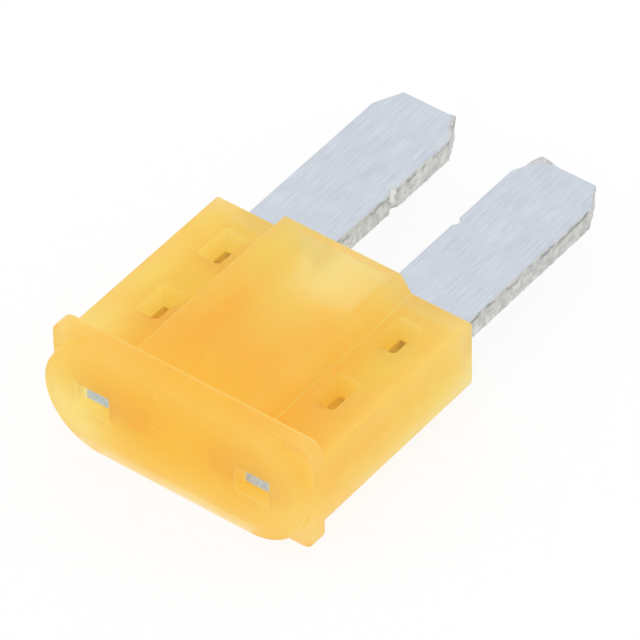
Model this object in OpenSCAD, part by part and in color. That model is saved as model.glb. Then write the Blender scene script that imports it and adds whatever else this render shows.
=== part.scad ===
// Two-blade micro fuse for vehicle circuits: a one-piece moulded housing staked onto a
// one-piece stamped metal element. It lies flat with its blades along +Y, its width along X
// and its thickness along Z, and the origin is under its middle, on the surface it lies on.

/* [Overall] */
// Length from the face of the head to the tips of the blades
total_len = 15.3; // [14.5:0.1:20]
// Width of the head, end to end
head_w = 9.1; // [8.8:0.05:12]
// Thickness of the head, the thickest part of the fuse
head_t = 3.8; // [3.75:0.05:5]

/* [Head] */
// How far the oblong pad stands out of the flange
pad_depth = 0.5; // [0.35:0.05:0.8]
// Rounding round the front edge of the pad
pad_round = 0.1; // [0.05:0.05:0.3]
// Thickness of the flange
flange_t = 0.5; // [0.3:0.05:1]
// Height of the flange, measured like the head's thickness
flange_h = 3.75; // [3.5:0.05:5]
// Corner radius of the flange
flange_r = 0.25; // [0.1:0.05:0.6]
// Radius of the shallow round gate dimple in the middle of the pad
dimple_r = 0.7; // [0.3:0.05:0.9]
// Depth of the gate dimple
dimple_depth = 0.05; // [0.02:0.01:0.1]

/* [Body] */
// How far the flange stands out past each side of the body
flange_lip = 0.03; // [0.02:0.01:0.3]
// Length of the body from the flange to its open end
body_len = 6.9; // [6.3:0.1:8.5]
// Thickness of the body over the blades
wing_t = 2.3; // [1.9:0.05:2.9]
// Thickness of the body over the raised middle, both faces
boss_t = 3.4; // [2.9:0.05:3.6]
// Width of the flat on top of the raised middle
boss_top_w = 4.1; // [3.6:0.05:4.8]
// Width of the raised middle at its foot
boss_foot_w = 4.85; // [4.4:0.05:5.2]
// Rounding along the outer edges of the body
edge_r = 0.08; // [0.03:0.01:0.2]

/* [Chamber] */
// Wall beside the chamber that the link melts in, at the top of the raised middle
chamber_wall = 0.5; // [0.35:0.05:0.8]
// Roof and floor over the chamber
chamber_roof = 0.6; // [0.4:0.05:0.75]
// Depth of the chamber from the open end of the body
chamber_len = 5.3; // [4:0.1:5.8]

/* [Blades] */
// Width of each blade
blade_w = 2.8; // [2.2:0.05:3.4]
// Thickness of the metal strip
blade_t = 0.8; // [0.6:0.05:1]
// Distance between the centre lines of the blades
blade_pitch = 5.0; // [4.9:0.05:5.5]
// What each cut corner takes off a tip's width
tip_cut_w = 0.46; // [0.2:0.02:0.8]
// What each cut corner takes off a blade's length
tip_cut_len = 0.92; // [0.4:0.02:1.5]
// Cut corner at the end of each blade inside the head
root_cut = 0.25; // [0.1:0.05:0.5]
// Distance from the tips to the nicks left where the strip's tie bar was cut out
nick_from_tip = 3.6; // [3:0.1:4.5]
// Width of a nick along the blade
nick_w = 0.42; // [0.2:0.02:0.6]
// Depth of a nick
nick_depth = 0.13; // [0.05:0.01:0.2]

/* [Link] */
// Width of the fuse link between the blades
link_w = 0.46; // [0.3:0.02:0.6]
// Thickness of the link, thinned from the strip
link_t = 0.32; // [0.2:0.02:0.5]
// Radius of the arch of the link, on its middle line
link_r = 0.6; // [0.45:0.05:0.7]
// Radius of the two bites that make the neck where the link melts
neck_bite_r = 0.13; // [0.05:0.01:0.16]
// Distance from the open end of the body to the legs of the link
link_from_end = 2.7; // [2:0.1:3.5]

/* [Windows] */
// Width of each test window in the head
window_w = 1.17; // [0.9:0.01:1.4]
// Height of each test window
window_h = 0.93; // [0.7:0.01:1.1]
// How far each window's centre lies outside its blade's centre line
window_offset = 0.31; // [0.1:0.01:0.5]
// Depth from the face of the head to the metal
window_depth = 0.42; // [0.35:0.01:0.6]

/* [Stakes] */
// Width of each pocket that the staking punch works through
pocket_w = 0.8; // [0.6:0.02:1]
// Length of each pocket along the blade
pocket_len = 1.3; // [1:0.05:1.6]
// How far each pocket's centre lies outside its blade's centre line
pocket_offset = 0.6; // [0.4:0.02:0.7]
// Distance from the open end of the body to the centre of the first pockets
pocket_from_end = 1.62; // [1.2:0.02:2.2]
// Distance between the two pockets over one blade
pocket_pitch = 2.83; // [2:0.05:3.2]
// Width of the groove that the punch leaves in the metal
stake_w = 0.56; // [0.3:0.02:0.58]
// Width of the flat bottom of that groove
stake_floor_w = 0.3; // [0.1:0.02:0.3]
// Length of that groove
stake_len = 1.0; // [0.6:0.05:1]
// Depth of that groove
stake_depth = 0.12; // [0.05:0.01:0.15]

/* [Fit] */
// Clearance round the metal inside the housing
metal_gap = 0.04; // [0.02:0.01:0.08]

/* [Hidden] */
$fn = 48;
// A cutter runs this far past the surface that it cuts
past = 0.1;
// Points along a quarter turn of an edge rounding
round_steps = 4;

mid_z = head_t / 2;
head_y = -total_len / 2;
flange_y = head_y + pad_depth;
body_y = flange_y + flange_t;
body_end_y = body_y + body_len;
tip_y = head_y + total_len;
body_w = head_w - 2 * flange_lip;
pad_r = head_t / 2;
dimple_sphere_r = (dimple_r * dimple_r + dimple_depth * dimple_depth) / (2 * dimple_depth);

metal_y = head_y + window_depth;
blade_x = blade_pitch / 2;
window_x = blade_x + window_offset;
slot_t = blade_t + 2 * metal_gap;
slot_w = blade_w + 2 * metal_gap;
chamber_w = boss_top_w - 2 * chamber_wall;
chamber_h = boss_t - 2 * chamber_roof;

pocket_x = blade_x + pocket_offset;
pocket_ys = [body_end_y - pocket_from_end, body_end_y - pocket_from_end - pocket_pitch];
link_y = body_end_y - link_from_end;
inner_edge = blade_x - blade_w / 2;

PLASTIC = [1, 0.75, 0.27];
METAL = [0.8, 0.82, 0.84];

// Corner of an outline as an arc of radius r between the sides to the points before and after it
function unit(v) = v / norm(v);
function corner_arc(before, at, after, r) =
    let (
        u = unit(before - at),
        v = unit(after - at),
        half = acos(u * v) / 2,
        centre = at + unit(u + v) * r / sin(half),
        first = at + u * r / tan(half) - centre,
        turn = (u[0] * v[1] - u[1] * v[0] > 0 ? -1 : 1) * (180 - 2 * half)
    )
    [for (i = [0 : round_steps])
        let (a = turn * i / round_steps)
        centre + [first[0] * cos(a) - first[1] * sin(a), first[0] * sin(a) + first[1] * cos(a)]];

// Outline with corner i rounded to radii[i], where 0 leaves the corner sharp
function rounded(outline, radii) =
    let (n = len(outline))
    [for (i = [0 : n - 1])
        each radii[i] > 0
            ? corner_arc(outline[(i + n - 1) % n], outline[i], outline[(i + 1) % n], radii[i])
            : [outline[i]]];

module both_sides() {
    children();
    mirror([1, 0, 0]) children();
}

// Upper and lower copies, mirrored about the fuse's middle plane
module both_faces() {
    children();
    translate([0, 0, 2 * mid_z]) mirror([0, 0, 1]) children();
}

// Outline drawn with width along X and height along Z, extruded from y to y + len
module along_y(y, len) {
    translate([0, y + len, mid_z]) rotate([90, 0, 0]) linear_extrude(len) children();
}

module block(w, len, h) {
    translate([-w / 2, 0, -h / 2]) cube([w, len, h]);
}

// Oblong pad with half-round ends and a rounded front edge
module pad() {
    side = [
        [0, 0], [pad_r, 0], [pad_r, pad_depth], [0, pad_depth]
    ];
    profile = rounded(side, [0, 0, pad_round, 0]);
    straight = head_w / 2 - pad_r;
    translate([0, flange_y, mid_z]) {
        both_sides() translate([straight, 0, 0]) rotate([90, 0, 0]) rotate_extrude() polygon(profile);
        for (turn = [0, 180])
            rotate([0, turn, 0]) translate([-straight, 0, 0]) rotate([0, 90, 0]) linear_extrude(2 * straight)
                polygon([for (p = profile) [-p[0], -p[1]]]);
    }
}

module flange() {
    w = head_w / 2;
    h = flange_h / 2;
    corners = [[-w, -h], [w, -h], [w, h], [-w, h]];
    along_y(flange_y, flange_t) polygon(rounded(corners, [flange_r, flange_r, flange_r, flange_r]));
}

// Cross-section of the body: thin wings over the blades and a raised middle with sloping sides
module body_section() {
    w = body_w / 2;
    h = wing_t / 2;
    b = boss_t / 2;
    top = boss_top_w / 2;
    foot = boss_foot_w / 2;
    upper = [[w, h], [foot, h], [top, b], [-top, b], [-foot, h], [-w, h]];
    lower = [for (p = upper) [-p[0], -p[1]]];
    radii = [edge_r, 0, edge_r, edge_r, 0, edge_r];
    polygon(rounded(concat(upper, lower), concat(radii, radii)));
}

module outer_form() {
    pad();
    flange();
    along_y(body_y, body_len) body_section();
}

// Slots that hold the blades, open at the end of the body
module blade_slots() {
    both_sides() translate([blade_x, metal_y - metal_gap, mid_z])
        block(slot_w, body_end_y - metal_y + metal_gap + past, slot_t);
}

// Chamber round the link, open at the end of the body so that the element can be pushed in, with
// a passage for the legs of the link where the blades are set wider apart than the chamber
module chamber() {
    translate([0, body_end_y - chamber_len, mid_z]) block(chamber_w, chamber_len + past, chamber_h);
    translate([0, link_y - metal_gap, mid_z])
        block(2 * inner_edge, link_from_end + metal_gap + past, link_t + 2 * metal_gap);
}

module test_windows() {
    both_sides() translate([window_x, head_y - past, mid_z]) block(window_w, window_depth + past, window_h);
}

// Pockets in both faces, through the wing down to the blade
module stake_pockets() {
    depth = wing_t / 2 - blade_t / 2;
    both_faces() both_sides() for (y = pocket_ys)
        translate([pocket_x, y - pocket_len / 2, mid_z + blade_t / 2 + depth / 2 + past / 2])
            block(pocket_w, pocket_len, depth + past);
}

module gate_dimple() {
    translate([0, head_y + dimple_depth - dimple_sphere_r, mid_z]) sphere(r = dimple_sphere_r);
}

module housing() {
    color(PLASTIC) difference() {
        outer_form();
        blade_slots();
        chamber();
        test_windows();
        stake_pockets();
        gate_dimple();
    }
}

// One blade seen from above, with its cut corners and the nick on its inner edge
module blade_outline() {
    w = blade_w / 2;
    nick_y = tip_y - nick_from_tip;
    polygon([
        [-w + root_cut, metal_y],
        [w - root_cut, metal_y],
        [w, metal_y + root_cut],
        [w, tip_y - tip_cut_len],
        [w - tip_cut_w, tip_y],
        [-w + tip_cut_w, tip_y],
        [-w, tip_y - tip_cut_len],
        [-w, nick_y + nick_w / 2],
        [-w + nick_depth, nick_y],
        [-w, nick_y - nick_w / 2],
        [-w, metal_y + root_cut]
    ]);
}

// Arched link with a narrow neck at its crown
module link_outline() {
    leg = inner_edge + past - link_r + link_w / 2;
    difference() {
        union() {
            difference() {
                circle(r = link_r + link_w / 2);
                circle(r = link_r - link_w / 2);
                translate([-head_w, 0]) square([2 * head_w, head_w]);
            }
            both_sides() translate([link_r - link_w / 2, 0]) square([leg, link_w]);
        }
        for (edge = [-link_w / 2, link_w / 2]) translate([0, -link_r + edge]) circle(r = neck_bite_r);
    }
}

// Grooves that the staking punch presses into both faces of the blades
module stake_grooves() {
    both_faces() both_sides() for (y = pocket_ys)
        along_y(y - stake_len / 2, stake_len) translate([pocket_x, blade_t / 2]) polygon([
            [-stake_w / 2, 0],
            [-stake_floor_w / 2, -stake_depth],
            [stake_floor_w / 2, -stake_depth],
            [stake_w / 2, 0],
            [stake_w / 2, past],
            [-stake_w / 2, past]
        ]);
}

module fuse_element() {
    color(METAL) difference() {
        union() {
            both_sides() translate([blade_x, 0, mid_z - blade_t / 2]) linear_extrude(blade_t) blade_outline();
            translate([0, link_y, mid_z - link_t / 2]) linear_extrude(link_t) link_outline();
        }
        stake_grooves();
    }
}

housing();
fuse_element();
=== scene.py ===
# %% [markdown]
# # A two-blade micro fuse
# A small vehicle fuse lies on a white table: an amber, see-through plastic housing pushed over a
# flat metal stamping whose two blades stick out at the back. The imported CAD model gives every
# size, and this lesson gives the fuse its looks. We work in the CAD frame: +Y runs from the head
# to the blade tips, +X across the two blades and +Z up from the table.

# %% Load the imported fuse
import math

import bmesh
import bpy
from mathutils import Matrix, Vector, noise


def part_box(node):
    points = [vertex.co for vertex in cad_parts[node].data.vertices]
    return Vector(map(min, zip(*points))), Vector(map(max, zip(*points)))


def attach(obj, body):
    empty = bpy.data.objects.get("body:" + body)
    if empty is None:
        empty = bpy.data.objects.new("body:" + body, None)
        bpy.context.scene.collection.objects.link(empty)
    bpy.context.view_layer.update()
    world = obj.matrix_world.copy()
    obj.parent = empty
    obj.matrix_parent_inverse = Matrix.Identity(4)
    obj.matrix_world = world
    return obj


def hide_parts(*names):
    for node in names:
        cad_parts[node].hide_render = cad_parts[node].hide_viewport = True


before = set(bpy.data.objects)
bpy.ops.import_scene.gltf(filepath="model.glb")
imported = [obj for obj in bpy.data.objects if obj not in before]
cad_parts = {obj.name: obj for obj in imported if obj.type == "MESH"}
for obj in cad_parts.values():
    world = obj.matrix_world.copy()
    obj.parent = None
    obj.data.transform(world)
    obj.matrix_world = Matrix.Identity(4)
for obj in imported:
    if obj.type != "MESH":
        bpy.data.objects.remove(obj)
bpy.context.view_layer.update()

# %% [markdown]
# ## Working in millimetres
# The fuse is only 15 mm long, and Blender's modelling tools lose small details when a whole part
# measures 0.015 units. So each piece is modelled in millimetres and scaled down to metres in its
# mesh when it is finished, which leaves the object itself at the origin with no scale of its own.

# %% One millimetre
MM = 0.001
print("one millimetre is", MM, "of Blender's units")

# %% [markdown]
# ## The housing
# The real housing is injection moulded in one shot, so no edge on it is truly sharp: the steel
# mould leaves a radius of a few hundredths of a millimetre, and that radius is what catches the
# light as a thin bright line. It could be rounded in the CAD model, but hundreds of tiny
# roundings belong to the looks and not to the construction. So we copy the CAD surface, choose a
# radius for each kind of edge and let one Bevel modifier round them all together.

# %% Copy the housing's surface in millimetres
SAME_POINT = 0.0005
SAME_PLANE = math.radians(0.5)


def simplify(bm):
    """Joins points that lie in one place and faces that lie in one plane."""
    bmesh.ops.remove_doubles(bm, verts=bm.verts, dist=SAME_POINT)
    bmesh.ops.dissolve_limit(bm, angle_limit=SAME_PLANE, verts=bm.verts, edges=bm.edges)


shell = bmesh.new()
shell.from_mesh(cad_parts["housing"].data)
bmesh.ops.scale(shell, vec=(1 / MM, 1 / MM, 1 / MM), verts=shell.verts)
simplify(shell)
print("housing copy:", len(shell.verts), "points,", len(shell.faces), "flat faces")

# %% [markdown]
# ### Staking pockets
# Four pockets on each side show where a punch staked the plastic to the metal. The warm punch
# leaves a thin film of plastic pressed down on the blade, walls that lean inwards towards it, a
# flared rim and soft corners. The CAD pocket is straight, square and open. So we fill it with a
# plug, and cut the real shape out of that with a solid of the punch's own shape. Seen through the
# film the metal looks dark amber, as in the photo.

# %% Sizes of the pockets, in millimetres
MIDDLE_Z = 1.9
POCKETS = [(x, y, side) for x in (-3.1, 3.1) for y in (-1.37, -4.20) for side in (-1, 1)]
POCKET_HALF = Vector((0.4, 0.65))
FLOOR_HALF = Vector((0.26, 0.49))
POCKET_R = 0.14
PLUG_HALF = POCKET_HALF + Vector((0.1, 0.1))
PLUG_R = 0.05
# Heights above the fuse's middle plane: the film's underside, the film's face and the wing's face
FILM, FLOOR, WING = 0.43, 0.48, 1.15
# The rim from below: height above the wing's face, and how far out from the pocket's wall
FLARE = [(-0.06, 0.0), (-0.03, 0.008), (-0.01, 0.026), (0.0, 0.06), (0.1, 0.06)]
print(len(POCKETS), "pockets with a film", round(FLOOR - FILM, 3), "mm thick")

# %% [markdown]
# Plug and punch are lofts: one outline is repeated at several heights, and each pair of
# neighbours is joined by a wall. All outlines of a loft have the same number of points, so each
# point is joined to the one above it.

# %% Outlines and lofts
def rounded_rectangle(half, radius, steps=5):
    points = []
    for quarter, (sx, sy) in enumerate(((1, 1), (-1, 1), (-1, -1), (1, -1))):
        for k in range(steps + 1):
            a = math.pi / 2 * (quarter + k / steps)
            points.append((sx * (half.x - radius) + radius * math.cos(a),
                           sy * (half.y - radius) + radius * math.sin(a)))
    return points


def add_loft(bm, rows):
    """A closed solid through rows of points, one row above the other."""
    rows = [[bm.verts.new(point) for point in row] for row in rows]
    for lower, upper in zip(rows, rows[1:]):
        for i in range(len(lower)):
            n = (i + 1) % len(lower)
            bm.faces.new((lower[i], lower[n], upper[n], upper[i]))
    bm.faces.new(rows[0])
    bm.faces.new(rows[-1])


def at_pocket(pocket, *levels):
    """Outlines moved to a pocket, each at its height above the fuse's middle plane."""
    px, py, side = pocket
    return [[(px + x, py + y, MIDDLE_Z + side * level) for x, y in outline]
            for level, outline in levels]


print("points in an outline:", len(rounded_rectangle(POCKET_HALF, POCKET_R)))

# %% [markdown]
# Two jobs are done best by Blender's own modifiers: Bevel, which rounds edges, and Boolean, which
# joins solids and cuts them. A modifier works on an object, so we put the mesh into an object for
# a moment, read the result and remove the object again.

# %% Apply modifiers to a mesh
def with_modifiers(bm, *settings):
    """Applies modifiers to a mesh in millimetres and returns the result."""
    mesh = bpy.data.meshes.new("work")
    bm.to_mesh(mesh)
    bm.free()
    for slot in range(2):
        mesh.materials.append(None)  # the Bevel modifier can mark its new faces with the second
    work = bpy.data.objects.new("work", mesh)
    bpy.context.scene.collection.objects.link(work)
    for kind, values in settings:
        modifier = work.modifiers.new(kind, kind)
        for key, value in values.items():
            setattr(modifier, key, value)
    evaluated = work.evaluated_get(bpy.context.evaluated_depsgraph_get())
    result = bmesh.new()
    result.from_mesh(evaluated.to_mesh())
    evaluated.to_mesh_clear()
    bpy.data.objects.remove(work)
    bpy.data.meshes.remove(mesh)
    return result


def helper_object(bm):
    """A solid in an object of its own, for the Boolean modifier to join or cut with."""
    mesh = bpy.data.meshes.new("helper")
    bmesh.ops.recalc_face_normals(bm, faces=bm.faces)
    bm.to_mesh(mesh)
    bm.free()
    helper = bpy.data.objects.new("helper", mesh)
    bpy.context.scene.collection.objects.link(helper)
    return helper


def boolean(operation, helper):
    return "BOOLEAN", {"operation": operation, "object": helper, "solver": "EXACT"}


print("solver that joins and cuts:", boolean("UNION", None)[1]["solver"])

# %% [markdown]
# After each change we want to know whether the mesh is still a closed solid, and several steps
# pick points or edges by where they lie. So we write two short tests.

# %% Test a mesh and a place
NEAR = 0.01


def open_edges(bm):
    """How many edges don't join exactly two faces, which is none on a closed solid."""
    return sum(not edge.is_manifold for edge in bm.edges)


def near(a, b, reach=NEAR):
    return abs(a - b) < reach


print("open edges of the copy:", open_edges(shell), "and two places are near within", NEAR, "mm")

# %% [markdown]
# Both lots of solids are built first, and then two Boolean modifiers fill and cut the housing in
# one go. The flare ends level with the wing's face. The Boolean leaves its points a hair above or
# below it, so they are set to the exact height before points and faces are joined.

# %% Fill the pockets and cut them again
A_HAIR = 0.002
plugs, punches = bmesh.new(), bmesh.new()
plug = rounded_rectangle(PLUG_HALF, PLUG_R, 1)
floor = rounded_rectangle(FLOOR_HALF, POCKET_R)
flare = [(WING + up, rounded_rectangle(POCKET_HALF + Vector((out, out)), POCKET_R + out))
         for up, out in FLARE]
for pocket in POCKETS:
    add_loft(plugs, at_pocket(pocket, (FILM, plug), (WING, plug)))
    add_loft(punches, at_pocket(pocket, (FLOOR, floor), *flare))
plugs, punches = helper_object(plugs), helper_object(punches)
shell = with_modifiers(shell, boolean("UNION", plugs), boolean("DIFFERENCE", punches))
for helper in (plugs, punches):
    bpy.data.objects.remove(helper)
for vert in shell.verts:
    for level in (MIDDLE_Z - WING, MIDDLE_Z + WING):
        if near(vert.co.z, level, A_HAIR):
            vert.co.z = level
simplify(shell)
print("pockets cut:", len(POCKETS), "open edges:", open_edges(shell))

# %% [markdown]
# ### Slot corners
# The element's four root corners are cut off. In the CAD model each slot keeps a square corner
# there, and such an air pocket would show as a dark spot behind the thin front wall. In the
# moulding the plastic closes round the metal, so we cut the slot's corners as well.

# %% Cut the slot's corners
SLOT_END, SLOT_SIDES = -7.27, (1.06, 3.94)
CORNER_CUT = 0.22
UPRIGHT = 0.5  # the slots' upright edges are longer than this, and no other edge there is


def at_slot_corner(point):
    return near(point.y, SLOT_END) and any(near(abs(point.x), x) for x in SLOT_SIDES)


slot_corners = [
    edge for edge in shell.edges
    if all(at_slot_corner(v.co) for v in edge.verts)
    and abs(edge.verts[0].co.z - edge.verts[1].co.z) > UPRIGHT
]
bmesh.ops.bevel(shell, geom=slot_corners, offset=CORNER_CUT, offset_type="OFFSET", segments=1,
                affect="EDGES")
print("slot corners cut:", len(slot_corners))

# %% [markdown]
# ### Flange corners
# The flange is the thin plate behind the oblong pad, and in the photo its four corners are a
# little rounder than in the CAD model. The points of a corner lie on an arc, so each one keeps
# its direction from the arc's middle and moves to the larger arc.

# %% Round the flange's corners more
FLANGE_HALF = Vector((4.55, 1.875))
CAD_R, FLANGE_R = 0.25, 0.42
ON_ARC = 0.005
moved = 0
for vert in shell.verts:
    at = Vector((abs(vert.co.x), abs(vert.co.z - MIDDLE_Z)))
    out = at - FLANGE_HALF + Vector((CAD_R, CAD_R))
    if min(out) > -ON_ARC and near(out.length, CAD_R, ON_ARC):
        at = FLANGE_HALF - Vector((FLANGE_R, FLANGE_R)) + out.normalized() * FLANGE_R
        vert.co.x = math.copysign(at.x, vert.co.x)
        vert.co.z = MIDDLE_Z + math.copysign(at.y, vert.co.z - MIDDLE_Z)
        moved += 1
print("corner points moved:", moved)

# %% [markdown]
# ### Edge radii
# An outer edge of the part comes from an inner corner of the mould, which the cutter left round,
# so its radius is larger than an inner edge's. Some places have no room for a full radius: behind
# the pad and beside the body the flange stands out by only 0.03 mm. One Bevel modifier can still
# do it all, because each edge carries its own share of the full radius as a weight. Edges that
# turn by less than 30 degrees belong to curves and stay as they are.

# %% Sizes for the roundings, in millimetres
MOULD_R, INNER_R = 0.06, 0.03
PAD_R, BACK_R, FOOT_R, LEDGE_R = 0.01, 0.018, 0.008, 0.01
SHARP = math.radians(30)
PAD_BACK, FLANGE_BACK, BODY_END = -7.15, -6.65, 0.25
OPEN_END = BODY_END - 0.05
HIDDEN_X, HIDDEN_Z = 4.0, 0.5
SLOT_EDGE, SLOT_FRONT = (0.41, 0.46), (-7.3, -7.0)
POCKET_MARGIN = 0.065
print("radii from", FOOT_R, "to", MOULD_R, "mm")

# %% [markdown]
# What lies close to the middle plane and inside the outline is a slot or the chamber. The metal
# fills the slots' long edges and ends, so they stay sharp. The test windows' corners end on a
# ledge of only 0.025 mm, and get a radius that fits on it.

# %% Choose a radius by place
def edge_radius(middle, turn):
    """The radius for an edge by where it is and how it turns: outwards above 0, inwards below."""
    off = abs(middle.z - MIDDLE_Z)
    hidden = off < HIDDEN_Z and abs(middle.x) < HIDDEN_X and middle.y < OPEN_END
    in_slot = SLOT_EDGE[0] < off < SLOT_EDGE[1] or SLOT_FRONT[0] < middle.y < SLOT_FRONT[1]
    if near(middle.y, PAD_BACK):
        return PAD_R if turn > 0 else 0.0
    if hidden and in_slot:
        return 0.0
    if hidden and middle.y < SLOT_FRONT[0] and turn < 0:
        return LEDGE_R
    if near(middle.y, FLANGE_BACK):
        return BACK_R if turn > 0 else FOOT_R
    return INNER_R if hidden or turn < 0 else MOULD_R


def along_pocket(middle):
    """How far along Y from a pocket's middle a place lies, or None if it is in no pocket."""
    reach = POCKET_HALF + Vector((POCKET_MARGIN, POCKET_MARGIN))
    for x, y, side in POCKETS:
        if near(middle.x, x, reach.x) and near(middle.y, y, reach.y):
            return middle.y - y
    return None


print("an outer edge gets", edge_radius(Vector((4.5, -3.0, MIDDLE_Z + 1)), 1), "mm")

# %% [markdown]
# The pockets' edges get no weight, as the punch has shaped them already. The modifier marks its
# new faces with a second material slot, and we read that mark in the cell after this one.

# %% Round the edges
weight = shell.edges.layers.float.new("bevel_weight_edge")
rounded = 0
for edge in shell.edges:
    turn = edge.calc_face_angle_signed(0)
    middle = (edge.verts[0].co + edge.verts[1].co) / 2
    by_punch = along_pocket(middle) is not None and abs(middle.z - MIDDLE_Z) > FLOOR - NEAR
    if abs(turn) > SHARP and not by_punch:
        edge[weight] = edge_radius(middle, turn) / MOULD_R
        rounded += edge[weight] > 0
shell = with_modifiers(shell, ("BEVEL", {
    "limit_method": "WEIGHT", "width": MOULD_R, "segments": 3, "use_clamp_overlap": False,
    "miter_outer": "MITER_SHARP", "loop_slide": True, "material": 1,
}))
print("edges that got a radius:", rounded)

# %% [markdown]
# Light has a short way through the plastic at a rounding, so it looks paler there, and this is
# painted into the colour as a painted highlight. We write that as a number on each face, which the
# plastic's shader reads: 1 is the palest. In the pockets the walls get painted light. The far side
# of the rim gets a strong painted highlight, and the rest of the rim a faint one.

# %% Mark the roundings for a painted highlight
WALL_LIGHT, FAR_RIM_HIGHLIGHT, NEAR_RIM_HIGHLIGHT = 0.55, 0.9, 0.12
FLARE_DEEP = 0.06
FAR_RIM_FROM = 0.6  # the far rim's strong painted highlight starts this far from the pocket's middle
painted_highlight = shell.faces.layers.float.new("painted_highlight")
rims = 0
for face in shell.faces:
    middle = face.calc_center_median()
    face[painted_highlight] = float(face.material_index == 1)
    rims += face.material_index == 1
    along, off = along_pocket(middle), abs(middle.z - MIDDLE_Z)
    if along is not None and FLOOR + NEAR < off < WING - 0.001:
        on_flare = NEAR_RIM_HIGHLIGHT if along <= FAR_RIM_FROM else FAR_RIM_HIGHLIGHT
        face[painted_highlight] = WALL_LIGHT if off < WING - FLARE_DEEP else on_flare
    face.material_index = 0
print("faces on the roundings:", rims)

# %% [markdown]
# A sharp mitre can push a corner point out by a hair, and the looks may not make the fuse larger.
# So each point is held to the box that the CAD housing has.

# %% Hold the housing to its box
low, high = (Vector(corner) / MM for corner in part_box("housing"))
for vert in shell.verts:
    vert.co = [min(max(value, low[i]), high[i]) for i, value in enumerate(vert.co)]
print("rounded housing:", len(shell.verts), "points, open edges:", open_edges(shell))

# %% [markdown]
# ## The metal element
# A press punches both blades and the link between them out of one strip. The punch rolls the
# upper edge over, burnishes the wall below it and then tears the rest, so the cut sides are
# rough and grey while the rolled faces stay bright. A plain extrusion can't show that. So each
# blade is built from rings: the outline is repeated down through the thickness, and each ring is
# moved in or out by what the press does at that depth.

# %% Sizes of the stamping, in millimetres
TOP, STRIP = 2.3, 0.8
TIP, ROOT = 7.65, -7.23
BLADE_X, HALF = 2.5, 1.4
TIP_CUT, ROOT_CUT = (0.46, 0.92), 0.25
NICK, NICK_HALF, NICK_DEEP = TIP - 3.6, 0.21, 0.13
BLADE = [
    (-HALF + ROOT_CUT, ROOT), (HALF - ROOT_CUT, ROOT), (HALF, ROOT + ROOT_CUT),
    (HALF, TIP - TIP_CUT[1]), (HALF - TIP_CUT[0], TIP), (-HALF + TIP_CUT[0], TIP),
    (-HALF, TIP - TIP_CUT[1]), (-HALF, NICK + NICK_HALF), (-HALF + NICK_DEEP, NICK),
    (-HALF, NICK - NICK_HALF), (-HALF, ROOT + ROOT_CUT),
]
print("blade:", TIP - ROOT, "x", 2 * HALF, "x", STRIP, "mm, corners:", len(BLADE))

# %% [markdown]
# A ring is the outline moved in or out by an inset, with its corners rounded. The rings are
# joined point by point later, so every ring has to have the same number of points.

# %% Move an outline in or out
PITCH = 0.07
CORNER_R, CORNER_STEPS = 0.05, 3


def left_of(direction):
    return Vector((-direction.y, direction.x))


def corner(outline, i):
    """Corner i of the outline, with the directions of the side before it and the side after."""
    before, at, after = (Vector(outline[(i + k) % len(outline)]) for k in (-1, 0, 1))
    return at, (at - before).normalized(), (after - at).normalized()


def mitre(outline, i, inset):
    """Corner i of the outline after each side has moved inwards by inset."""
    at, u, v = corner(outline, i)
    n1, n2 = left_of(u), left_of(v)
    return at + (n1 + n2) * inset / (1 + n1.dot(n2))


def ring(outline, inset):
    """Points along the outline at that inset, about PITCH apart on its straight sides."""
    points = []
    count = len(outline)
    for i in range(count):
        at, u, v = corner(outline, i)
        convex = 1 if u.cross(v) > 0 else -1
        centre = mitre(outline, i, convex * CORNER_R)
        n1, n2 = -convex * left_of(u), -convex * left_of(v)
        reach = CORNER_R - convex * inset
        for k in range(CORNER_STEPS + 1):
            n = n1.slerp(n2, k / CORNER_STEPS)
            points.append(centre + n * reach if reach > 0 else mitre(outline, i, inset))
    full = []
    step = CORNER_STEPS + 1
    for i in range(count):
        full += points[i * step:(i + 1) * step]
        a, b = points[i * step + CORNER_STEPS], points[((i + 1) % count) * step]
        length = (Vector(outline[i]) - Vector(outline[(i + 1) % count])).length
        parts = max(2, round(length / PITCH))
        full += [a.lerp(b, k / parts) for k in range(1, parts)]
    return full


print("points round a blade:", len(ring(BLADE, 0)))

# %% [markdown]
# The walls follow what a press leaves. From the top there is the rolled-over edge, then a
# smooth burnished land for about a quarter of the strip, then the torn zone, which is set back a
# little and pitted. On the inner cut corner of each tip the photo shows the opposite: a thin
# lip of metal that was pushed up, a burr. There the rolled-over edge turns into the lip.

# %% Sizes of the walls: inset and depth below the strip's top
ROLL = [(0.16, 0.0), (0.075, 0.0), (0.036, 0.009), (0.012, 0.03), (0.0, 0.068)]
LAND = [(0.0, 0.13), (0.0, 0.2), (0.008, 0.25)]
TORN = [(0.016, 0.25 + 0.065 * k) for k in range(1, 8)] + [(0.012, 0.765), (0.006, 0.8)]
FIRST_PITTED = len(ROLL) + 2
PIT, PITS_PER_MM, OTHER_BLADE = 0.022, 9, 7
# The lip's inset and height above the strip's top, and each burr's middle and reach by side
LIP = [(0.17, 0.0), (0.125, 0.02), (0.045, 0.09), (-0.012, 0.09), (-0.022, 0.03)]
BURRS = {
    -1: (Vector((-HALF + 0.32, TIP - 0.35)), 0.5),
    1: (Vector((-HALF + 0.44, TIP - 0.08)), 0.5),
}
lip_rings = [ring(BLADE, inset) for inset, up in LIP]
print("rings:", len(ROLL + LAND + TORN), "and a burr", max(up for inset, up in LIP), "mm high")

# %% [markdown]
# The pits come from a fractal noise in three dimensions, so that they run on from ring to ring.
# The same noise gives the same pits each time, and a number for the side gives each blade pits
# of its own. They start beyond the housing, because inside it nobody sees them, and the nick
# stays free of them: the punch's sharp corner cuts it clean.

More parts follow.
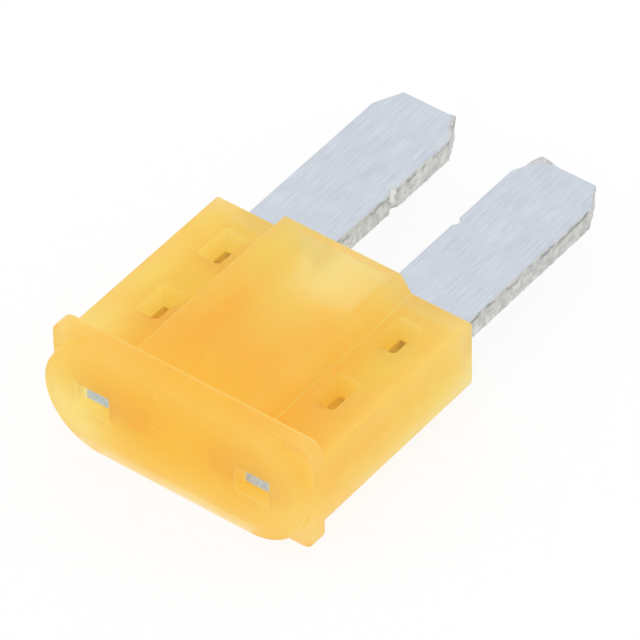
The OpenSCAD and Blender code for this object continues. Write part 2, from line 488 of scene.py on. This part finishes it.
# %% Shape the walls
def lip_height(point, side):
    """How much of a burr stands at this place of the outline, from 0 to 1."""
    middle, reach = BURRS[side]
    return max(0.0, 1 - ((point - middle).length / reach) ** 2)


def stays_smooth(point):
    in_nick = point.x < 0 and near(point.y, NICK, NICK_HALF + NEAR)
    return point.y < 0 or in_nick


def pit(x, y, seed):
    """Moves a point of the torn wall inwards by the depth of a pit."""
    inward = (Vector((0, min(max(y, ROOT + 1), TIP - 1))) - Vector((x, y))).normalized()
    depth = PIT * (0.5 + noise.fractal(seed * PITS_PER_MM, 0.7, 2, 3))
    return x + inward.x * depth, y + inward.y * depth


def blade_mesh(side):
    """One blade: side is 1 for the right one and -1 for its mirror image, the left one."""
    bm = bmesh.new()
    base = ring(BLADE, 0)
    rows = []
    for k, (inset, down) in enumerate(ROLL + LAND + TORN):
        row = []
        for j, p in enumerate(ring(BLADE, inset)):
            x, y, z = p.x, p.y, TOP - down
            if k < len(ROLL):
                up = lip_height(base[j], side)
                q = lip_rings[k][j]
                x, y, z = x + (q.x - x) * up, y + (q.y - y) * up, z + (LIP[k][1] + down) * up
            elif k >= FIRST_PITTED and not stays_smooth(base[j]):
                x, y = pit(x, y, Vector((base[j].x, base[j].y, side * OTHER_BLADE + down)))
            row.append((side * (x + BLADE_X), min(y, TIP), z))
        rows.append(row)
    add_loft(bm, rows)
    bmesh.ops.remove_doubles(bm, verts=bm.verts, dist=A_HAIR)
    bmesh.ops.recalc_face_normals(bm, faces=bm.faces)
    return bm


right_blade, left_blade = blade_mesh(1), blade_mesh(-1)
print("blade:", len(right_blade.verts), "points, open edges:", open_edges(right_blade))

# %% [markdown]
# The link is the part that melts. It is the same metal, pressed thin and cut to a narrow arch
# with a neck at its crown. It shows only as a soft shape inside the chamber, so a plain bent bar
# with a waist is enough: a row of cross-sections along the arch, each a rectangle whose corners
# are cut a little.

# %% Sizes of the link, in millimetres
LINK_Y = BODY_END - 2.7
LINK_R, LINK_W, LINK_T = 0.6, 0.46, 0.32
LINK_SOFT = 0.05
LEG_LEAD = 0.25
INTO_BLADE = 0.1
NECK_SHARE, NECK_HALF = 0.55, 0.14
ARCH_STEPS = 32
print("link:", LINK_W, "x", LINK_T, "mm, neck:", round(LINK_W * (1 - NECK_SHARE), 3), "mm wide")

# %% [markdown]
# The path has a straight leg out of each blade and half a circle between them. Each point of it
# knows its direction, so the cross-section there can stand square to the path.

# %% Build the link
def link_path():
    """Points along the middle of the link, with the direction and the width at each."""
    reach = BLADE_X - HALF + INTO_BLADE
    leg_y = LINK_Y + LINK_W / 2
    straight = Vector((1, 0))
    path = [(Vector((x, leg_y)), straight, LINK_W) for x in (-reach, -LINK_R - LEG_LEAD)]
    for k in range(ARCH_STEPS + 1):
        a = math.pi * (1 + k / ARCH_STEPS)
        from_crown = abs(a - 1.5 * math.pi) * LINK_R
        neck = 1 - NECK_SHARE * max(0.0, 1 - (from_crown / NECK_HALF) ** 2)
        middle = Vector((LINK_R * math.cos(a), LINK_Y + LINK_R * math.sin(a)))
        path.append((middle, Vector((-math.sin(a), math.cos(a))), LINK_W * neck))
    path += [(Vector((x, leg_y)), straight, LINK_W) for x in (LINK_R + LEG_LEAD, reach)]
    return path


def link_mesh():
    bm = bmesh.new()
    cut, flat = (LINK_SOFT, 0), (0, LINK_SOFT)
    rows = []
    for at, along, width in link_path():
        across = left_of(along)
        row = []
        for sx, sz in ((-1, -1), (1, -1), (1, 1), (-1, 1)):
            for dx, dz in (flat, cut) if sx * sz > 0 else (cut, flat):
                w, h = sx * (width / 2 - dx), sz * (LINK_T / 2 - dz)
                row.append((at.x + across.x * w, at.y + across.y * w, TOP - STRIP / 2 + h))
        rows.append(row)
    add_loft(bm, rows)
    bmesh.ops.recalc_face_normals(bm, faces=bm.faces)
    return bm


link = link_mesh()
print("link:", len(link.verts), "points, open edges:", open_edges(link))

# %% [markdown]
# ### Stake marks
# Under each pocket the punch also pressed a trough into the blade, wide at the metal's face and
# narrow at its floor. It is cut by a wedge, which starts a little above the face so that the
# Boolean modifier has no two faces in one plane.

# %% Make the wedges
STAKE_LEN, STAKE_W, STAKE_FLOOR, STAKE_DEEP = 1.0, 0.56, 0.3, 0.12
ABOVE = 0.1


def stake_rows(x, y, side):
    slope = (STAKE_W - STAKE_FLOOR) / 2 / STAKE_DEEP
    levels = ((STAKE_DEEP, STAKE_FLOOR / 2), (-ABOVE, STAKE_W / 2 + ABOVE * slope))
    return [[(x + sx * half, y + sy * STAKE_LEN / 2, MIDDLE_Z + side * (STRIP / 2 - down))
             for sx, sy in ((-1, -1), (1, -1), (1, 1), (-1, 1))] for down, half in levels]


stakes = bmesh.new()
for pocket in POCKETS:
    add_loft(stakes, stake_rows(*pocket))
print("wedges:", len(POCKETS), "each", STAKE_DEEP, "mm into the metal")

# %% [markdown]
# The three closed metal shapes are united by the Boolean modifier, which gives one clean skin,
# as the stamping has, and the wedges are taken away from it.

# %% Unite the blades and the link, and press in the stake marks
left, bar, stakes = helper_object(left_blade), helper_object(link), helper_object(stakes)
element = with_modifiers(
    right_blade, boolean("UNION", bar), boolean("UNION", left), boolean("DIFFERENCE", stakes),
)
for helper in (left, bar, stakes):
    bpy.data.objects.remove(helper)
print("element:", len(element.faces), "faces, open edges:", open_edges(element))

# %% [markdown]
# The strip is plated before it is punched, so the finish depends on how a face was made: rolled
# faces are plated, and so is the strip's own edge, which became the root ends. Punched sides are
# bare, and the far wall of each nick was cut clean. Each face gets the number of its finish by
# where it lies and the way it faces.

# %% Choose the finish of each face
PLATED, BARE, CROPPED, BURNISHED = range(4)
WINDOW_X, WINDOW_REACH = 2.81, 0.57
STAKE_REACH = Vector((0.4, 0.6))
WINDOW_DEEP = 0.06
HEAD_STAKES = -3  # the stake marks nearer the head than this look bright in the photo
CLEAN_CUT, CLEAN_ABOVE = 0.14, 1.72
STEEP, BURR_ABOVE = 0.75, 0.02


def finish_of(face):
    middle = face.calc_center_median()
    cut_side = abs(face.normal.z) < STEEP
    in_stake = abs(middle.z - MIDDLE_Z) < STRIP / 2 - NEAR and any(
        near(middle.x, x, STAKE_REACH.x) and near(middle.y, y, STAKE_REACH.y)
        for x, y, side in POCKETS)
    in_window = middle.y < ROOT + WINDOW_DEEP and near(abs(middle.x), WINDOW_X, WINDOW_REACH)
    far_wall = abs(middle.x) < BLADE_X and 0 < middle.y - NICK < CLEAN_CUT
    if cut_side and in_window:
        return CROPPED
    if in_stake and middle.y < HEAD_STAKES:
        return BURNISHED
    if cut_side and far_wall and middle.z > CLEAN_ABOVE:
        return BURNISHED
    if in_stake or cut_side and middle.y > OPEN_END or middle.z > TOP + BURR_ABOVE:
        return BARE
    return PLATED


for face in element.faces:
    face.material_index = finish_of(face)
finishes = [face.material_index for face in element.faces]
print("faces plated, bare, cropped and burnished:", [finishes.count(k) for k in range(4)])

# %% [markdown]
# ## Materials
# Colours are written as they look on screen, in sRGB hex, and one function turns them into the
# linear numbers that the shaders work with. A second one adds a node with its settings and its
# links. The Scale of a noise texture says how many of its features fit in a metre, so we write
# how many fit in a millimetre and divide by MM. Distances are written in millimetres times MM.

# %% Helpers for all materials
MIX_A, MIX_B, MIX_OUT = 6, 7, 2  # the sockets of a Mix node that carry its colours


def hex_colour(code):
    channels = [int(code[i:i + 2], 16) / 255 for i in (1, 3, 5)]
    linear = [c / 12.92 if c <= 0.04045 else ((c + 0.055) / 1.055) ** 2.4 for c in channels]
    return (*linear, 1.0)


def add(tree, kind, inputs=None, stops=(), **settings):
    """Adds a node. Settings are its properties, or values for input sockets, by name. Inputs are
    links or values, by the socket's name or number. Stops are a ramp's places and colours."""
    node = tree.nodes.new(kind)
    for key, value in settings.items():
        if hasattr(node, key):
            setattr(node, key, value)
        else:
            node.inputs[key.replace("_", " ")].default_value = value
    for key, value in (inputs or {}).items():
        if isinstance(value, bpy.types.NodeSocket):
            tree.links.new(value, node.inputs[key])
        else:
            node.inputs[key].default_value = value
    for k, (position, code) in enumerate(stops):
        ramp = node.color_ramp.elements
        stop = ramp[k] if k < 2 else ramp.new(position)
        stop.position, stop.color = position, hex_colour(code)
    return node


def new_material(name):
    material = bpy.data.materials.new(name)
    material.use_nodes = True
    tree = material.node_tree
    tree.nodes.clear()
    return material, tree


WHITE = hex_colour("#FFFFFF")
print("mid grey #808080 is", round(hex_colour("#808080")[0], 3), "in linear numbers")

# %% [markdown]
# ### Amber nylon, moulded
# The housing is nylon coloured amber, moulded in a lightly grained tool. It isn't clear and it
# isn't opaque: light goes in, is scattered by fine crystals about every half millimetre, loses
# its blue and then its green on the way, and comes out soft. So the shader is built the same
# way: a rough clear surface, and inside it a volume that scatters all colours and absorbs blue.
# The metal then shows through as a faint darker shape without anyone painting it.
#
# The surface's tint is deepest at the middle of the head and pales towards the open end. That is
# painted shade where the plastic is solid, and painted light where light comes in through the open
# chamber. The melt's flow streaks, a millimetre or two wide, break it up. Soft patches are painted
# paler where light passes thin walls and the chamber, and over the metal, whose shade they lighten.
# Two patches are painted deeper, as painted shade.

# %% Amber nylon: the tint by place
HEAD_FRONT_MIDDLE = Vector((0.0, -7.65, 1.9)) * MM
LIGHT_AND_SHADE_PATCHES = [  # middle and radius in millimetres, and how much paler; below 0 it is deeper
    ((0.2, -1.3, 3.6), 2.4, 0.42), ((0.4, -3.2, 3.6), 1.6, 0.2), ((-3.7, -5.9, 3.05), 1.5, 0.6),
    ((3.1, -4.2, 2.8), 1.0, 0.4), ((-4.1, -0.9, 3.0), 1.6, -0.35), ((1.8, -3.0, 3.4), 1.0, -0.2),
    ((-3.7, -7.6, 0.9), 2.2, 0.75), ((0.5, -7.6, 0.0), 1.5, 0.25), ((4.1, -7.6, 1.5), 1.5, 0.25),
]
amber_nylon, tree = new_material("amber_nylon_moulded")
coords = add(tree, "ShaderNodeTexCoord").outputs["Object"]
head_distance = add(tree, "ShaderNodeVectorMath", {0: coords, 1: HEAD_FRONT_MIDDLE}, operation="DISTANCE")
streaks = add(tree, "ShaderNodeTexNoise", {"Vector": coords},
              Scale=0.7 / MM, Detail=2.0, Distortion=0.8)
# Painted light and painted shade: the tint pales with the distance from the head.
paler_away_from_head = add(tree, "ShaderNodeMath", {0: head_distance.outputs["Value"], 1: 1 / (16 * MM)},
                operation="MULTIPLY")
paler = add(tree, "ShaderNodeMath",
            {0: streaks.outputs["Fac"], 1: 0.4, 2: paler_away_from_head.outputs["Value"]},
            operation="MULTIPLY_ADD")
# Painted light and painted shade: each patch makes the tint paler round one place, and deeper where
# its amount is below 0.
for place, radius, amount in LIGHT_AND_SHADE_PATCHES:
    away = add(tree, "ShaderNodeVectorMath", {0: coords, 1: Vector(place) * MM},
               operation="DISTANCE")
    patch = add(tree, "ShaderNodeMapRange",
                {"Value": away.outputs["Value"], "From Min": 0.0, "From Max": radius * MM,
                 "To Min": amount, "To Max": 0.0}, interpolation_type="SMOOTHSTEP")
    paler = add(tree, "ShaderNodeMath",
                {0: paler.outputs["Value"], 1: patch.outputs["Result"]}, operation="ADD")
tint = add(tree, "ShaderNodeValToRGB", {"Fac": paler.outputs["Value"]},
           stops=((0.28, "#FFD68C"), (0.72, "#FFE4AE"), (1.0, "#FFF2CE")))
print("soft patches in the tint:", len(LIGHT_AND_SHADE_PATCHES))

# %% [markdown]
# Away from the gate the melt cools more slowly, and in places its crystals grow larger. In the
# photo that shows as faint greenish clouds, about two millimetres across.

# %% Amber nylon: greenish clouds
clouds = add(tree, "ShaderNodeTexNoise", {"Vector": coords}, Scale=0.52 / MM, Detail=1.0)
cloudy = add(tree, "ShaderNodeMapRange",
             {"Value": clouds.outputs["Fac"], "From Min": 0.48, "From Max": 0.68,
              "To Min": 0.0, "To Max": 1.0}, interpolation_type="SMOOTHSTEP")
far = add(tree, "ShaderNodeMapRange",
          {"Value": head_distance.outputs["Value"], "From Min": 3 * MM, "From Max": 6 * MM,
           "To Min": 0.0, "To Max": 0.6})
amount = add(tree, "ShaderNodeMath", {0: cloudy.outputs["Result"], 1: far.outputs["Result"]},
             operation="MULTIPLY")
amber = add(tree, "ShaderNodeMix",
            {0: amount.outputs["Value"], MIX_A: tint.outputs["Color"],
             MIX_B: hex_colour("#F9F0B6")}, data_type="RGBA")
print("nodes so far:", len(tree.nodes))

# %% [markdown]
# The roundings are painted paler too, a painted highlight where the light's way through the plastic
# is short. So is the back of the flange's top, a painted highlight in a strip that thins out
# towards the body. The attribute node reads the number that we wrote on each face.

# %% Amber nylon: painted highlight on the roundings
STRIP_FROM, STRIP_TO, STRIP_ABOVE = -6.75, -6.69, 3.7
rounding = add(tree, "ShaderNodeAttribute", attribute_name="painted_highlight")
place = add(tree, "ShaderNodeSeparateXYZ", {0: coords})
behind = add(tree, "ShaderNodeMapRange",
             {"Value": place.outputs["Y"], "From Min": STRIP_FROM * MM,
              "From Max": STRIP_TO * MM, "To Min": 0.0, "To Max": 1.0})
above = add(tree, "ShaderNodeMath", {0: place.outputs["Z"], 1: STRIP_ABOVE * MM},
            operation="GREATER_THAN")
strip = add(tree, "ShaderNodeMath", {0: behind.outputs["Result"], 1: above.outputs["Value"]},
            operation="MULTIPLY")
highlight_amount = add(tree, "ShaderNodeMath", {0: rounding.outputs["Fac"], 1: strip.outputs["Value"]},
           operation="MAXIMUM")
share = add(tree, "ShaderNodeMath", {0: highlight_amount.outputs["Value"], 1: 0.8}, operation="MULTIPLY")
# Painted highlight: where the mask says so, the amber mixes towards a near white.
amber = add(tree, "ShaderNodeMix",
            {0: share.outputs["Value"], MIX_A: amber.outputs[MIX_OUT],
             MIX_B: hex_colour("#FFF8E0")}, data_type="RGBA")
print("nodes so far:", len(tree.nodes))

# %% [markdown]
# The mould's light grain gives the surface a roughness of 0.24 to 0.36, a soft sheen that varies
# along the flow streaks. Nylon has an IOR of 1.53. Matched to the photo it is 1.2, because a
# surface with a lower IOR sends less light back inside, where it would be absorbed.
#
# A volume's Density is written per millimetre too. Its colours aren't seen as such. The scatter
# colour is the share of light that goes on at each turn, which is all of it. The absorption
# colour is the share of red, green and blue that isn't taken: all, nearly all and none.

# %% Amber nylon: the surface and the inside
gloss = add(tree, "ShaderNodeMapRange",
            {"Value": streaks.outputs["Fac"], "To Min": 0.24, "To Max": 0.36})
plastic = add(tree, "ShaderNodeBsdfPrincipled",
              {"Base Color": amber.outputs[MIX_OUT], "Roughness": gloss.outputs["Result"]},
              IOR=1.2, Transmission_Weight=1.0)
crystals = add(tree, "ShaderNodeVolumeScatter", Color=WHITE, Density=2 / MM, Anisotropy=0.3)
dye = add(tree, "ShaderNodeVolumeAbsorption", Color=(1.0, 0.94, 0.0, 1.0), Density=0.5 / MM)
inside = add(tree, "ShaderNodeAddShader",
             {0: crystals.outputs["Volume"], 1: dye.outputs["Volume"]})
add(tree, "ShaderNodeOutputMaterial",
    {"Surface": plastic.outputs["BSDF"], "Volume": inside.outputs["Shader"]})
print("material:", amber_nylon.name, "with", len(tree.nodes), "nodes")

# %% [markdown]
# ### Plated zinc strip, rolled
# The element is a rolled zinc alloy strip with a thin silver plating. Rolling leaves fine lines
# along the strip, which give the bright faces their brushed look: a noise with 20 features to the
# millimetre across the strip, drawn out to 25 times that length along it. Real lines are finer, but
# these are the finest that the render shows. A rolled face has a roughness of about 0.35, between
# polished and matt. The plating takes up differently on the crystals below it, in soft, barely
# visible clouds. Inside the housing the metal is painted nearly white, painted light that keeps the
# plastic over it from looking grey.

# %% Plated strip
plated_strip, tree = new_material("plated_zinc_strip_rolled")
coords = add(tree, "ShaderNodeTexCoord").outputs["Object"]
lines_at = add(tree, "ShaderNodeMapping", {"Vector": coords}, Scale=(1.0, 0.04, 1.0))
lines = add(tree, "ShaderNodeTexNoise", {"Vector": lines_at.outputs["Vector"]},
            Scale=20 / MM, Detail=4.0, Roughness=0.6)
mottles = add(tree, "ShaderNodeTexNoise", {"Vector": coords}, Scale=1.5 / MM, Detail=2.0)
mixed = add(tree, "ShaderNodeMix",
            {0: 0.22, 2: lines.outputs["Fac"], 3: mottles.outputs["Fac"]})
tint = add(tree, "ShaderNodeValToRGB", {"Fac": mixed.outputs[0]},
           stops=((0.37, "#C7CDD8"), (0.63, "#D6DDE4")))
place = add(tree, "ShaderNodeSeparateXYZ", {0: coords})
in_housing = add(tree, "ShaderNodeMapRange",
              {"Value": place.outputs["Y"], "From Min": 0.1 * MM, "From Max": 0.3 * MM,
               "To Min": 1.0, "To Max": 0.0})
# Painted light: inside the housing the plating turns nearly white.
plating_and_painted_light = add(tree, "ShaderNodeMix",
              {0: in_housing.outputs["Result"], MIX_A: tint.outputs["Color"],
               MIX_B: hex_colour("#F9FDF9")}, data_type="RGBA")
groove = add(tree, "ShaderNodeBump", {"Height": lines.outputs["Fac"]},
             Strength=0.18, Distance=0.004 * MM)
metal = add(tree, "ShaderNodeBsdfPrincipled",
            {"Base Color": plating_and_painted_light.outputs[MIX_OUT], "Normal": groove.outputs["Normal"]},
            Metallic=1.0, Roughness=0.36)
add(tree, "ShaderNodeOutputMaterial", {"Surface": metal.outputs["BSDF"]})
print("material:", plated_strip.name, "with", len(tree.nodes), "nodes")

# %% [markdown]
# ### Bare zinc, sheared
# The punch shears the upper part of the strip's side and tears the rest. Torn zinc is grey, matt
# and mottled: its crystals leave pits a fifth of a millimetre across, with finer ones between
# them. Where the smooth land ends and the torn wall begins, a dark line of smeared metal wanders
# up and down by a tenth of a millimetre, and it is broken in places.

# %% Bare zinc: pits and the dark line
torn_zinc, tree = new_material("bare_zinc_sheared")
coords = add(tree, "ShaderNodeTexCoord").outputs["Object"]
pits = add(tree, "ShaderNodeTexNoise", {"Vector": coords}, Scale=5 / MM, Detail=3.0, Roughness=0.55)
tone = add(tree, "ShaderNodeValToRGB", {"Fac": pits.outputs["Fac"]},
           stops=((0.3, "#C6C7C4"), (0.7, "#EDEDEA")))
place = add(tree, "ShaderNodeSeparateXYZ", {0: coords})
waves = add(tree, "ShaderNodeTexNoise", {"Vector": coords}, Scale=1.7 / MM, Detail=2.0)
level = add(tree, "ShaderNodeMath",
            {0: waves.outputs["Fac"], 1: 0.5 * MM, 2: place.outputs["Z"]},
            operation="MULTIPLY_ADD")
below_top = add(tree, "ShaderNodeMapRange",
                {"Value": level.outputs["Value"], "From Min": 2.25 * MM, "From Max": 2.55 * MM})
band = add(tree, "ShaderNodeValToRGB", {"Fac": below_top.outputs["Result"]},
           stops=((0.0, "#000000"), (0.2, "#000000"), (0.42, "#FFFFFF"), (0.58, "#FFFFFF"),
                  (0.8, "#000000"), (1.0, "#000000")))
print("nodes so far:", len(tree.nodes))

# %% [markdown]
# The burr stands above the strip's top. Its upright faces are painted nearly as dark as the line,
# painted shade on the raised lip, and its other faces take a little of it. The line itself starts
# where the blade leaves the housing. Line and burr are two masks, and the stronger one decides how
# much of the dark tone covers the grey.

# %% Bare zinc: the dark mask
facing = add(tree, "ShaderNodeNewGeometry")
facing = add(tree, "ShaderNodeSeparateXYZ", {0: facing.outputs["Normal"]})
upright = add(tree, "ShaderNodeMath", {0: facing.outputs["Z"], 1: 0.5}, operation="LESS_THAN")
above = add(tree, "ShaderNodeMath", {0: place.outputs["Z"], 1: 2.31 * MM},
            operation="GREATER_THAN")
# Painted shade: the burr's upright faces are darker by the way they face.
shade_by_facing = add(tree, "ShaderNodeMath", {0: upright.outputs["Value"], 1: 0.6, 2: 0.12},
           operation="MULTIPLY_ADD")
burr_shade = add(tree, "ShaderNodeMath", {0: shade_by_facing.outputs["Value"], 1: above.outputs["Value"]},
           operation="MULTIPLY")
blotches = add(tree, "ShaderNodeTexNoise", {"Vector": coords}, Scale=2.6 / MM, Detail=3.0)
broken = add(tree, "ShaderNodeMapRange",
             {"Value": blotches.outputs["Fac"], "From Min": 0.44, "From Max": 0.62,
              "To Min": 0.1, "To Max": 0.6})
outside = add(tree, "ShaderNodeMath", {0: place.outputs["Y"], 1: 0.0}, operation="GREATER_THAN")
smear_and_burr_shade = add(tree, "ShaderNodeMath", {0: band.outputs["Color"], 1: broken.outputs["Result"]},
            operation="MULTIPLY")
smear_and_burr_shade = add(tree, "ShaderNodeMath", {0: smear_and_burr_shade.outputs["Value"], 1: outside.outputs["Value"]},
            operation="MULTIPLY")
smear_and_burr_shade = add(tree, "ShaderNodeMath", {0: smear_and_burr_shade.outputs["Value"], 1: burr_shade.outputs["Value"]},
            operation="MAXIMUM")
print("nodes so far:", len(tree.nodes))

# %% [markdown]
# The grey of the pits takes the dark tone where the mask says so, and the pits also press into
# the surface through a bump of 0.02 mm. Torn metal is rough, so it shows no clear reflection.

# %% Bare zinc: the surface
# The dark tone is the smeared line's own colour, and on the burr a painted shade.
wall = add(tree, "ShaderNodeMix",
           {0: smear_and_burr_shade.outputs["Value"], MIX_A: tone.outputs["Color"],
            MIX_B: hex_colour("#7F807E")}, data_type="RGBA")
rough = add(tree, "ShaderNodeBump", {"Height": pits.outputs["Fac"]},
            Strength=0.25, Distance=0.02 * MM)
metal = add(tree, "ShaderNodeBsdfPrincipled",
            {"Base Color": wall.outputs[MIX_OUT], "Normal": rough.outputs["Normal"]},
            Metallic=1.0, Roughness=0.55)
add(tree, "ShaderNodeOutputMaterial", {"Surface": metal.outputs["BSDF"]})
print("material:", torn_zinc.name, "with", len(tree.nodes), "nodes")

# %% [markdown]
# ### Bare zinc, burnished
# Where the punch's sharp corner cuts the nick clean, and where the stake pressed the metal near
# the head, the zinc is rubbed smooth. It is bright and even, with no grain that would show at
# this size, so its shader has one colour and one roughness.

# %% Burnished zinc
burnished_zinc, tree = new_material("bare_zinc_burnished")
metal = add(tree, "ShaderNodeBsdfPrincipled", Base_Color=hex_colour("#E6E6E4"),
            Metallic=1.0, Roughness=0.3)
add(tree, "ShaderNodeOutputMaterial", {"Surface": metal.outputs["BSDF"]})
print("material:", burnished_zinc.name)

# %% [markdown]
# ### Plated zinc, cropped
# The blades' root ends, which a test probe reaches through the two windows, are the strip's own
# edge, cropped to width before the strip was plated. The plating keeps the grain of that cut:
# matt, bluish and less than a tenth of a millimetre across.

# %% Plated root ends
cropped_end, tree = new_material("plated_zinc_end_cropped")
coords = add(tree, "ShaderNodeTexCoord").outputs["Object"]
grain = add(tree, "ShaderNodeTexNoise", {"Vector": coords}, Scale=12 / MM, Detail=3.0)
tone = add(tree, "ShaderNodeValToRGB", {"Fac": grain.outputs["Fac"]},
           stops=((0.3, "#CBDCFA"), (0.7, "#E6F4FF")))
rough = add(tree, "ShaderNodeBump", {"Height": grain.outputs["Fac"]},
            Strength=0.6, Distance=0.03 * MM)
metal = add(tree, "ShaderNodeBsdfPrincipled",
            {"Base Color": tone.outputs["Color"], "Normal": rough.outputs["Normal"]},
            Metallic=1.0, Roughness=0.85)
add(tree, "ShaderNodeOutputMaterial", {"Surface": metal.outputs["BSDF"]})
print("material:", cropped_end.name, "with", len(tree.nodes), "nodes")

# %% [markdown]
# ## The two pieces
# A finished mesh is scaled from millimetres to metres and becomes an object. The object takes the
# place of the CAD node that it stands for, which is hidden from now on. It rides on a body and has
# a slot for each of its finishes. The Weighted Normal modifier keeps large flat faces flat beside
# small roundings.

# %% Turn a finished mesh into a piece
def make_piece(name, bm, materials, replaces, smooth_degrees):
    """Makes the piece that stands for a CAD node, smooth where its faces turn less than that."""
    mesh = bpy.data.meshes.new(name)
    bm.to_mesh(mesh)
    bm.free()
    mesh.transform(Matrix.Scale(MM, 4))
    for material in materials:
        mesh.materials.append(material)
    mesh.shade_smooth()
    mesh.set_sharp_from_angle(angle=math.radians(smooth_degrees))
    piece = bpy.data.objects.new(name, mesh)
    bpy.context.scene.collection.objects.link(piece)
    flats = piece.modifiers.new("flat faces stay flat", "WEIGHTED_NORMAL")
    flats.keep_sharp = True
    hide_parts(replaces)
    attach(piece, "root")
    print(name, len(mesh.vertices), "points", len(mesh.polygons), "faces")


# %% [markdown]
# Smooth shading bends the normal between two faces. On clear plastic a bent normal costs light,
# and a wall then looks grey, so the housing is smoothed only where its faces turn less than 22
# degrees: round the ends of the head, but not over its small radii. Metal can bear more.

# %% Make the two pieces
PLASTIC_SMOOTH, METAL_SMOOTH = 22, 38
metals = {PLATED: plated_strip, BARE: torn_zinc, CROPPED: cropped_end, BURNISHED: burnished_zinc}
make_piece("housing_moulding", shell, [amber_nylon], "housing", PLASTIC_SMOOTH)
make_piece("stamped_element", element, [metals[k] for k in sorted(metals)],
           "fuse_element", METAL_SMOOTH)
print("metal finishes:", len(metals))

# %% [markdown]
# ## Table, light and camera
# The photo is lit from all round, as in a light tent: no strong highlight, hardly a shadow, and the
# ground is pure white. The fuse lies on a flat table, which is no part of the object.

# %% A table under the fuse
TABLE_HALF = 0.4
bm = bmesh.new()
bmesh.ops.create_grid(bm, x_segments=1, y_segments=1, size=TABLE_HALF)
mesh = bpy.data.meshes.new("table")
bm.to_mesh(mesh)
bm.free()
table = bpy.data.objects.new("table", mesh)
bpy.context.scene.collection.objects.link(table)
print("table:", 2 * TABLE_HALF, "m across")

# %% [markdown]
# The table is ordinary white paper to the light that falls on it. Seen in the metal or through
# the plastic it is as white as the tent, and the camera sees a mix of the two, so that a faint
# shadow stays under the fuse. The Light Path node tells which kind of ray is asking.

# %% White paper
CAMERA_SHARE = 0.85
white_table, tree = new_material("white_table")
seen = add(tree, "ShaderNodeLightPath")
paper = add(tree, "ShaderNodeBsdfPrincipled", Base_Color=WHITE, Roughness=0.9)
glow = add(tree, "ShaderNodeEmission", Color=WHITE, Strength=1.0)
in_glass = add(tree, "ShaderNodeMath",
               {0: seen.outputs["Is Glossy Ray"], 1: seen.outputs["Is Transmission Ray"]},
               operation="MAXIMUM")
direct = add(tree, "ShaderNodeMath", {0: seen.outputs["Is Camera Ray"], 1: CAMERA_SHARE},
             operation="MULTIPLY")
share = add(tree, "ShaderNodeMath", {0: in_glass.outputs["Value"], 1: direct.outputs["Value"]},
            operation="MAXIMUM")
surface = add(tree, "ShaderNodeMixShader",
              {0: share.outputs["Value"], 1: paper.outputs["BSDF"], 2: glow.outputs["Emission"]})
add(tree, "ShaderNodeOutputMaterial", {"Surface": surface.outputs["Shader"]})
mesh.materials.append(white_table)
print("material:", white_table.name, "with", len(tree.nodes), "nodes")

# %% [markdown]
# Lamps would each leave a highlight that the photo doesn't have. A white world of strength 1
# lights the fuse evenly from everywhere, and at that strength a material's colour renders about
# as it is written.

# %% White surroundings
world = bpy.data.worlds.new("light_tent")
world.use_nodes = True
tree = world.node_tree
tree.nodes.clear()
tent = add(tree, "ShaderNodeBackground", Color=WHITE, Strength=1.0)
add(tree, "ShaderNodeOutputWorld", {"Surface": tent.outputs["Background"]})
bpy.context.scene.world = world
print("world:", world.name)

# %% [markdown]
# Light that scatters in the nylon turns many times before it leaves. Cycles would stop it early,
# or blur the rough surface that it leaves by, and either turns bright plastic brown. So we let
# it turn more often and switch that blur off.

# %% Follow light deep into the plastic
cycles = bpy.context.scene.cycles
cycles.max_bounces = cycles.transmission_bounces = 128
cycles.glossy_bounces = cycles.volume_bounces = 128
cycles.diffuse_bounces = 24
cycles.blur_glossy = 0.0
print("bounces:", cycles.max_bounces)

# %% [markdown]
# The camera was found by matching corners of the fuse in the photo to the known sizes: a long
# lens, 43 degrees above the table and 38 degrees round from the head. The same match gave the
# focal length in pixels of the photo, which is 640 pixels wide.

# %% Where the camera stands
AZIMUTH, ELEVATION, ROLL_ANGLE = (math.radians(v) for v in (38.36, 43.066, -1.457))
DISTANCE = 199.18 * MM
TARGET = Vector((0.24, -1.198, 1.9)) * MM
back = Vector((math.sin(AZIMUTH) * math.cos(ELEVATION), -math.cos(AZIMUTH) * math.cos(ELEVATION),
               math.sin(ELEVATION)))
level = Vector((math.cos(AZIMUTH), math.sin(AZIMUTH), 0))
upright = back.cross(level)
right = level * math.cos(ROLL_ANGLE) + upright * math.sin(ROLL_ANGLE)
up = upright * math.cos(ROLL_ANGLE) - level * math.sin(ROLL_ANGLE)
print("camera stands at", [round(value / MM, 1) for value in TARGET + back * DISTANCE], "mm")

# %% [markdown]
# The photo is square, so one focal length serves both ways, and the lens in millimetres follows
# from the width of the sensor. The colours are shown as they are, with the Standard view.

# %% Camera
FOCAL_PIXELS, PHOTO_PIXELS, SENSOR = 7073.607, 640, 36
data = bpy.data.cameras.new("camera")
data.sensor_width = SENSOR
data.lens = FOCAL_PIXELS / PHOTO_PIXELS * SENSOR
data.clip_start = 0.01
camera = bpy.data.objects.new("camera", data)
camera.matrix_world = Matrix((right, up, back)).transposed().to_4x4()
camera.location = TARGET + back * DISTANCE
bpy.context.scene.collection.objects.link(camera)
bpy.context.scene.camera = camera
bpy.context.scene.view_settings.view_transform = "Standard"
print("lens:", round(data.lens, 1), "mm")
